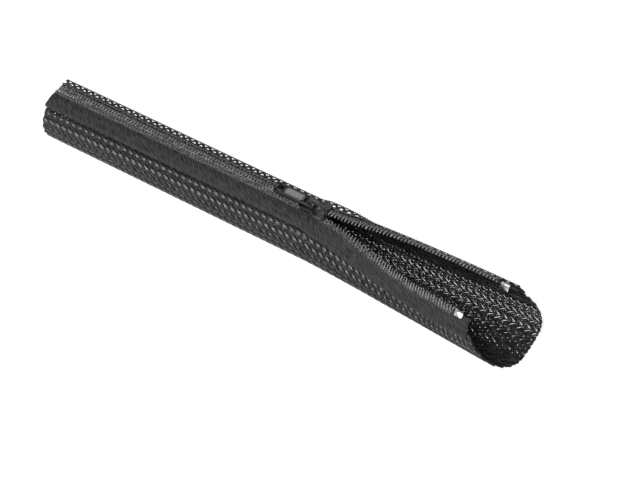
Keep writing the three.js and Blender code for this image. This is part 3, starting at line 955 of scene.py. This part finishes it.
@dataclass
class FarNet:
    """The braid's far edge, folded out beside the coil: an open net whose free edge is sewn over."""

    root: float = 2.45
    width: float = 3.4
    droop: tuple[float, float] = (4.0, 30.0)  # degrees, beside the closed zip and along the open lip
    base: float = 2.05
    pitch: float = 2.9
    droop_run: tuple[float, float] = (0.0, 22.0)
    cell: float = 2.3
    hole_at: float = 1.5
    strand_width: float = 0.98
    strand_thickness: float = 0.26
    step: float = 0.5
    lay: float = 0.16
    weave_depth: float = 0.1
    uneven_place: float = 0.06
    edge_at: float = 3.15
    edge_height: float = 0.2
    edge_reach: tuple[float, float] = (0.2, 0.24)
    root_at: float = 0.28
    root_height: float = 0.34
    root_reach: tuple[float, float] = (0.16, 0.1)
    stitch_length: float = 0.9
    stitch_steps: int = 6
    stitch_radius: float = 0.17
    end_inset: float = 0.3
    seed: int = 5

    def place(self, s: np.ndarray, out: np.ndarray, height: np.ndarray) -> np.ndarray:
        """Points of the row frame, in metres.

        Args:
            s: Places along the zip.
            out: Distances from the net's root.
            height: Heights over the net's underside.

        Returns:
            One row of x, y and z for each place.
        """
        s, out, height = np.broadcast_arrays(*(np.asarray(v, float) for v in (s, out, height)))
        far = FORM.from_lip(Lip.FAR)
        step = 0.1
        root = far(s, self.root, self.base)
        outward = far(s, self.root + step, self.base) - root
        upward = far(s, self.root, self.base + step) - root
        outward /= np.linalg.norm(outward, axis=-1, keepdims=True)
        upward /= np.linalg.norm(upward, axis=-1, keepdims=True)
        droop = np.radians(self.droop[0] + (self.droop[1] - self.droop[0]) * ease(s, *self.droop_run))
        sine, cosine = np.sin(droop), np.cos(droop)
        along = (out * cosine + height * sine)[..., None] * MM
        up = (height * cosine - out * sine)[..., None] * MM
        return root + along * outward + up * upward

    def build(self, material: bpy.types.Material) -> bpy.types.Object:
        """Crossing strands, two rows of open cells, and a solid root.

        Args:
            material: The monofilament's finish.

        Returns:
            The piece.
        """
        rng = np.random.default_rng(self.seed)
        slope = self.cell / self.pitch
        tilt = math.atan(slope)
        run = self.width / slope
        profile = yarn_profile(self.strand_width, self.strand_thickness, 3)
        strands = YarnMesh()
        for bias in Bias:
            lag = (self.hole_at - self.width / 2) / slope * (1 - bias.value)
            first = -FORM.closed_length - 2 * run + lag
            for number in range(int((FORM.lip_end - first) / self.pitch) + 1):
                start = first + number * self.pitch + rng.normal(0, self.uneven_place)
                s = np.arange(start, start + run + self.step, self.step)
                climbed = (s - start) * slope
                out = climbed if bias is Bias.RISING else self.width - climbed
                inside = (s > -FORM.closed_length) & (s < FORM.lip_end) & (out > -0.1) & (out < self.width)
                s, out = s[inside], out[inside]
                if len(s) < 3:
                    continue
                wave = bias.value * self.weave_depth * np.cos(2 * math.pi * (s - start) / self.pitch)
                ring_s = s[:, None] - bias.value * math.sin(tilt) * profile[:, 0]
                ring_out = np.clip(out[:, None] + math.cos(tilt) * profile[:, 0], 0, self.width)
                ring_height = self.lay + wave[:, None] + profile[:, 1]
                strands.add(self.place(ring_s, ring_out, ring_height), rng.random())
        return dress(strands.build("far_net_strands"), SLEEVE, material, ["far_net"])

    def edge(self, material: bpy.types.Material) -> bpy.types.Object:
        """The thread sewn over the net's free edge.

        Args:
            material: The thread's finish.

        Returns:
            The piece.
        """
        length = FORM.closed_length + FORM.lip_end - 2 * self.end_inset
        phase = np.arange(0, length / self.stitch_length, 1 / self.stitch_steps)
        s = -FORM.closed_length + self.end_inset + self.stitch_length * phase
        cosine, sine = np.cos(2 * math.pi * phase), np.sin(2 * math.pi * phase)
        core = self.place(s, self.edge_at, self.edge_height)
        (out, up), (root_out, root_up) = self.edge_reach, self.root_reach
        wound = self.place(s, self.edge_at + out * cosine, self.edge_height + up * sine)
        root = self.place(s, self.root_at + root_out * cosine, self.root_height + root_up * sine)
        obj = thread_object("far_edge_overcast", [wound, core, root], self.stitch_radius)
        return dress(obj, SLEEVE, material, ["far_edge_stitching"])


@dataclass
class ZipSide:
    """One side of the zip: its tape, coil, core cord, threads and end stop."""

    lip: Lip
    tape_outer: float
    hem: float
    coil_phase: float
    seam_at: float = 6.5
    seam_height: float = 1.15
    tape_inner: float = 0.85
    tape_bottom: float = 0.25
    tape_thickness: float = 0.48
    pitch: float = 1.27
    coil_middle: float = 0.86
    coil_reach: float = 1.11
    coil_height: float = 1.56
    coil_rise: float = 0.5
    wire: float = 0.25
    coil_squareness: tuple[float, float] = (0.7, 0.75)  # across and up; 1 is round
    head_at: float = -0.25
    head_width: float = 0.3
    head_swell: float = 0.14
    stop_at: float = 62.5
    stop_room: float = 0.6
    end_inset: float = 0.3
    grid: tuple[int, int] = (190, 14)
    hem_inset: float = 0.75
    hem_width: float = 0.5
    cord_at: float = 1.2
    cord_radius: float = 0.25
    cord_step: float = 1.6
    stitch_radius: float = 0.12
    stitch_from: float = 1.05
    stitch_reach: float = 1.6
    stitch_top: float = 2.52
    stitch_drop: float = 1.62
    back_at: float = 2.62
    back_height: float = 0.92
    back_wave: float = 0.14
    seam_length: float = 2.6
    seam_radius: float = 0.26
    seam_sway: float = 0.1
    seam_dip: float = 0.5

    @property
    def place(self) -> PlaceCorner:
        """Placing by the distance from this side's lip."""
        return FORM.from_lip(self.lip)

    def tape(self, material: bpy.types.Material) -> bpy.types.Object:
        """The woven tape: a grid bent over the sleeve, given its thickness and a turned outer edge.

        Args:
            material: The tape's finish.

        Returns:
            The piece.
        """
        deselect()
        bpy.ops.mesh.primitive_grid_add(x_subdivisions=self.grid[0], y_subdivisions=self.grid[1], size=2)
        obj = bpy.context.view_layer.objects.active
        obj.name = f"{self.lip.value}_tape_cloth"
        mesh = obj.data
        unit = np.empty(len(mesh.vertices) * 3)
        mesh.vertices.foreach_get("co", unit)
        unit = (unit.reshape(-1, 3) + 1) / 2
        s = -FORM.closed_length + unit[:, 0] * (FORM.closed_length + FORM.lip_end)
        across = self.tape_inner + unit[:, 1] * (self.tape_outer - self.tape_inner)
        ridge_at = self.tape_outer - self.hem_inset
        ridge = self.hem * np.exp(-(((across - ridge_at) / self.hem_width) ** 2))
        height = self.tape_bottom + self.tape_thickness + ridge
        points = self.place(s, across, height)
        mesh.vertices.foreach_set("co", points.ravel())
        loops = np.empty(len(mesh.loops), int)
        mesh.loops.foreach_get("vertex_index", loops)
        mesh.uv_layers["UVMap"].uv.foreach_set("vector", np.c_[s, across][loops].ravel())
        mesh.update()
        if self.lip is Lip.FAR:
            mesh.flip_normals()
        apply_modifier(obj, "SOLIDIFY", thickness=self.tape_thickness * MM, offset=-1.0)
        smooth(obj, 50)
        return dress(obj, SLEEVE, material, [f"{self.lip.value}_tape"])

    def coil(self, material: bpy.types.Material) -> bpy.types.Object:
        """The coil: a flattened helix of monofilament with swollen heads.

        Args:
            material: The coil's finish.

        Returns:
            The piece.
        """
        steps = 16
        first = -FORM.closed_length + self.pitch * (0.5 + self.coil_phase)
        turns = int((self.stop_at - self.stop_room - first) / self.pitch)
        angle = np.arange(turns * steps + 1) * 2 * math.pi / steps
        lean, side = np.cos(angle), np.sin(angle)
        flat_across, flat_up = self.coil_squareness
        across = self.coil_middle - self.coil_reach * np.sign(lean) * np.abs(lean) ** flat_across
        height = self.coil_height + self.coil_rise * np.sign(side) * np.abs(side) ** flat_up
        s = first + self.pitch * angle / (2 * math.pi)
        swell = 1 + self.head_swell * np.exp(-(((across - self.head_at) / self.head_width) ** 2))
        line = self.place(s, across, height)
        obj = thread_object(f"{self.lip.value}_coil_spiral", [line], self.wire, [swell])
        return dress(obj, SLEEVE, material, [f"{self.lip.value}_coil"])

    def core_cord(self, material: bpy.types.Material) -> bpy.types.Object:
        """The cord that runs inside the coil.

        Args:
            material: The thread's finish.

        Returns:
            The piece.
        """
        s = np.arange(-FORM.closed_length, self.stop_at - self.end_inset, self.cord_step)
        line = self.place(s, self.cord_at, self.coil_height)
        obj = thread_object(f"{self.lip.value}_core_cord_line", [line], self.cord_radius)
        return dress(obj, SLEEVE, material, [f"{self.lip.value}_core_cord"])

    def coil_stitches(self, material: bpy.types.Material) -> bpy.types.Object:
        """Threads that sew the coil down: a slanted loop over each turn and a line along its back.

        Args:
            material: The thread's finish.

        Returns:
            The piece.
        """
        steps = 6
        first = -FORM.closed_length + self.end_inset
        turns = int((self.stop_at - self.stop_room - first) / self.pitch)
        phase = np.arange(turns * steps + 1) / steps
        cosine = np.cos(2 * math.pi * phase)
        wave = (1 - cosine) / 2
        s = first + self.pitch * phase
        top = self.stitch_top - self.stitch_drop * wave**3
        over = self.place(s, self.stitch_from + self.stitch_reach * wave, top)
        back = self.place(s, self.back_at, self.back_height + self.back_wave * cosine)
        obj = thread_object(f"{self.lip.value}_coil_stitches", [over, back], self.stitch_radius)
        return dress(obj, SLEEVE, material, [f"{self.lip.value}_coil_stitching"])

    def seam_stitches(self, material: bpy.types.Material) -> bpy.types.Object:
        """The lock-stitched seam that joins the near tape to the braid.

        Args:
            material: The thread's finish.

        Returns:
            The piece.
        """
        steps = 8
        turns = int((FORM.lip_end + FORM.closed_length - 2 * self.end_inset) / self.seam_length)
        phase = np.arange(turns * steps + 1) / steps
        s = -FORM.closed_length + self.end_inset + self.seam_length * phase
        dip = self.seam_dip * np.abs(2 * (phase % 1) - 1) ** 6
        sway = self.seam_sway * np.sin(2 * math.pi * phase)
        line = self.place(s, self.seam_at + sway, self.seam_height - dip)
        obj = thread_object(f"{self.lip.value}_seam_stitches", [line], self.seam_radius)
        return dress(obj, SLEEVE, material, [f"{self.lip.value}_seam_stitching"])

    def end_stop(self, material: bpy.types.Material) -> bpy.types.Object:
        """The metal clip at the end of the coil, with softened edges.

        Args:
            material: The plating.

        Returns:
            The piece.
        """
        obj = softened_copy(f"{self.lip.value}_end_stop", f"{self.lip.value}_end_clip", 0.14)
        return dress(obj, SLEEVE, material, [f"{self.lip.value}_end_stop"])


def softened_copy(node: str, name: str, bevel: float) -> bpy.types.Object:
    """A copy of a CAD node with its corners merged and its edges rounded.

    Args:
        node: The CAD node.
        name: The new piece's name.
        bevel: Width of the rounding in millimetres.

    Returns:
        The piece.
    """
    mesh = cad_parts[node].data.copy()
    mesh.materials.clear()
    obj = bpy.data.objects.new(name, mesh)
    bpy.context.scene.collection.objects.link(obj)
    pick(obj)
    bpy.ops.object.mode_set(mode="EDIT")
    bpy.ops.mesh.select_all(action="SELECT")
    bpy.ops.mesh.remove_doubles(threshold=0.002 * MM)
    bpy.ops.mesh.dissolve_limited(angle_limit=math.radians(2))
    bpy.ops.object.mode_set(mode="OBJECT")
    apply_modifier(
        obj, "BEVEL", width=bevel * MM, segments=2, limit_method="ANGLE", angle_limit=math.radians(38)
    )
    pick(obj)
    bpy.ops.object.mode_set(mode="EDIT")
    bpy.ops.mesh.select_all(action="SELECT")
    bpy.ops.mesh.quads_convert_to_tris()
    bpy.ops.object.mode_set(mode="OBJECT")
    smooth(obj, 35)
    return obj


@dataclass
class SliderSet:
    """The slider and its pull tab."""

    panel_depth: float = 0.25
    tab_thickness: float = 1.0

    def slider(self, material: bpy.types.Material) -> bpy.types.Object:
        """The slider's body.

        Args:
            material: Its finish.

        Returns:
            The piece.
        """
        obj = softened_copy("slider_body", "slider_casting", 0.16)
        return dress(obj, SLIDER, material, ["slider_body"])

    def tab(self, material: bpy.types.Material, panel: bpy.types.Material) -> bpy.types.Object:
        """The pull tab, with its sunk panel in another finish: grey, a painted reflection on its flat face.

        Args:
            material: Its finish.
            panel: The panel's grey finish, a painted reflection.

        Returns:
            The piece.
        """
        obj = softened_copy("pull_tab", "pull_tab_casting", 0.1)
        low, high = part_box("pull_tab")
        floor = (low.z + high.z) / 2 + (self.tab_thickness / 2 - self.panel_depth) * MM
        obj.data.materials.append(material)
        obj.data.materials.append(panel)
        for face in obj.data.polygons:
            if abs(face.center.z - floor) < 0.02 * MM and face.normal.z > 0.9:
                face.material_index = 1
        return dress(obj, PULL, material, ["pull_tab"])


@dataclass
class Studio:
    """The floor, soft lights and the camera."""

    photo_size: tuple[int, int] = (640, 480)
    focal_pixels: float = 1600.0
    sensor_mm: float = 36.0
    turn: float = 29.07
    tilt: float = 47.15
    roll: float = 3.53
    distance: float = 553.83
    target: tuple[float, float, float] = (0.0, -5.87, 14.81)
    surround: float = 0.26

    def camera(self) -> None:
        """Sets the camera where the photograph was taken from."""
        turn, tilt, roll = (math.radians(v) for v in (self.turn, self.tilt, self.roll))
        ahead = Vector((-math.cos(tilt) * math.sin(turn), math.cos(tilt) * math.cos(turn), -math.sin(tilt)))
        right = Vector((math.cos(turn), math.sin(turn), 0))
        up = right.cross(ahead)
        rolled_right = math.cos(roll) * right + math.sin(roll) * up
        rolled_up = -math.sin(roll) * right + math.cos(roll) * up
        target = Vector((self.target[0] + FORM.origin[0], self.target[1] + FORM.origin[1], self.target[2]))
        place = (target - ahead * self.distance) * MM
        data = bpy.data.cameras.new("camera")
        data.sensor_width = self.sensor_mm
        data.lens = self.focal_pixels * self.sensor_mm / self.photo_size[0]
        data.clip_start, data.clip_end = 0.01, 20.0
        obj = bpy.data.objects.new("camera", data)
        turned = Matrix((rolled_right, rolled_up, -ahead)).transposed()
        obj.matrix_world = Matrix.Translation(place) @ turned.to_4x4()
        bpy.context.scene.collection.objects.link(obj)
        bpy.context.scene.camera = obj

    def floor(self) -> None:
        """A wide pale sheet under the sleeve."""
        deselect()
        bpy.ops.mesh.primitive_plane_add(size=6.0)
        obj = bpy.context.view_layer.objects.active
        obj.name = "studio_floor"
        obj.data.materials.append(PaleFloor().material())

    def light(
        self, name: str, place: tuple[float, float, float], size: tuple[float, float], watts: float
    ) -> None:
        """One soft rectangular lamp that faces the sleeve across it.

        Args:
            name: Its name.
            place: Where it stands, in metres.
            size: Its width and height, in metres.
            watts: Its power.
        """
        data = bpy.data.lights.new(name, "AREA")
        data.shape = "RECTANGLE"
        data.size, data.size_y = size
        data.energy = watts
        obj = bpy.data.objects.new(name, data)
        obj.location = place
        obj.rotation_euler = Vector((0, -place[1], -place[2])).to_track_quat("-Z", "Y").to_euler()
        bpy.context.scene.collection.objects.link(obj)

    def world(self) -> None:
        """A plain pale surround."""
        world = bpy.data.worlds.new("surround")
        world.use_nodes = True
        tree = world.node_tree
        tree.nodes.clear()
        back = add_node(tree, "ShaderNodeBackground", {"Color": linear("#ffffff"), "Strength": self.surround})
        add_node(tree, "ShaderNodeOutputWorld", {"Surface": back.outputs[0]})
        bpy.context.scene.world = world

    def build(self) -> None:
        """Sets out the whole studio."""
        self.camera()
        self.floor()
        self.light("key", (0.08, -0.62, 0.72), (0.26, 0.46), 12.0)
        self.light("fill", (-0.5, -0.7, 0.4), (0.5, 0.4), 0.3)
        self.light("back", (-0.4, 0.7, 0.85), (0.2, 0.1), 0.3)
        self.world()
        bpy.context.scene.view_settings.view_transform = "Standard"


def main() -> None:
    """Builds each sub-assembly in order."""
    yarn = PetMonofilament().material()
    tape = WovenTape().material()
    nylon = NylonCoil().material()
    thread = SewingThread().material()
    nickel = PlatedMetal().material()
    enamel = BakedEnamel().material()
    # The sunk panel is painted grey: a painted reflection of a soft lamp on its flat face.
    panel = BakedEnamel(name="panel_painted_reflection", colour="#6c6c6e", edge_colour="#8c8c8e", roughness=0.4).material()

    Braid().build(yarn)
    sides = [
        ZipSide(Lip.NEAR, tape_outer=7.6, hem=0.5, coil_phase=0.0),
        ZipSide(Lip.FAR, tape_outer=2.7, hem=0.0, coil_phase=0.5),
    ]
    for side in sides:
        side.tape(tape)
        side.coil(nylon)
        side.core_cord(thread)
        side.coil_stitches(thread)
        side.end_stop(nickel)
    # The seam thread is painted paler than the other threads: a painted highlight along the seam ridge.
    seam_thread = SewingThread(name="pale_polyester_thread", dark="#3a3a3c", light="#8c8c8e").material()
    sides[0].seam_stitches(seam_thread)
    net = FarNet()
    net.build(yarn)
    net.edge(thread)
    slider_set = SliderSet()
    slider_set.slider(enamel)
    slider_set.tab(enamel, panel)
    Studio().build()


if __name__ == "__main__":
    main()
